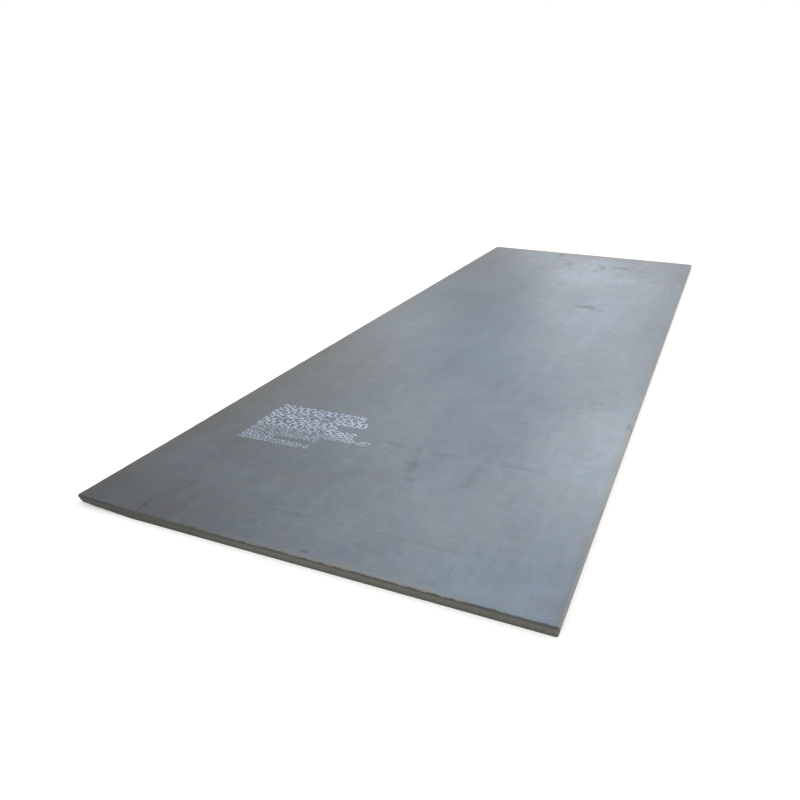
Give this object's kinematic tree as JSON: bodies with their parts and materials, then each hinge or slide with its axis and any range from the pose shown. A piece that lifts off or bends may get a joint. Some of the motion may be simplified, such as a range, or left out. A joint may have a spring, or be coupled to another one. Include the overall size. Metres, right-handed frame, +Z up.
{
  "type": "steel plate",
  "caption": "Flat rectangular hot-rolled steel plate with sheared edges, raw stock to be cut, drilled or welded into structures.",
  "frame": {"origin": "middle of the underside, on the surface that the plate lies on", "axes": "+X across the plate's width, +Y along its length in the rolling direction, +Z up out of the top face"},
  "size_m": [2, 6, 0.038],
  "materials": {
    "mill_scale": "hot-rolled mill scale, dull blue-grey, with flash rust along the edges",
    "marking_paint": "thin worn white marking paint"
  },
  "bodies": {
    "root": {"steel_plate": "mill_scale"}
  },
  "joints": []
}
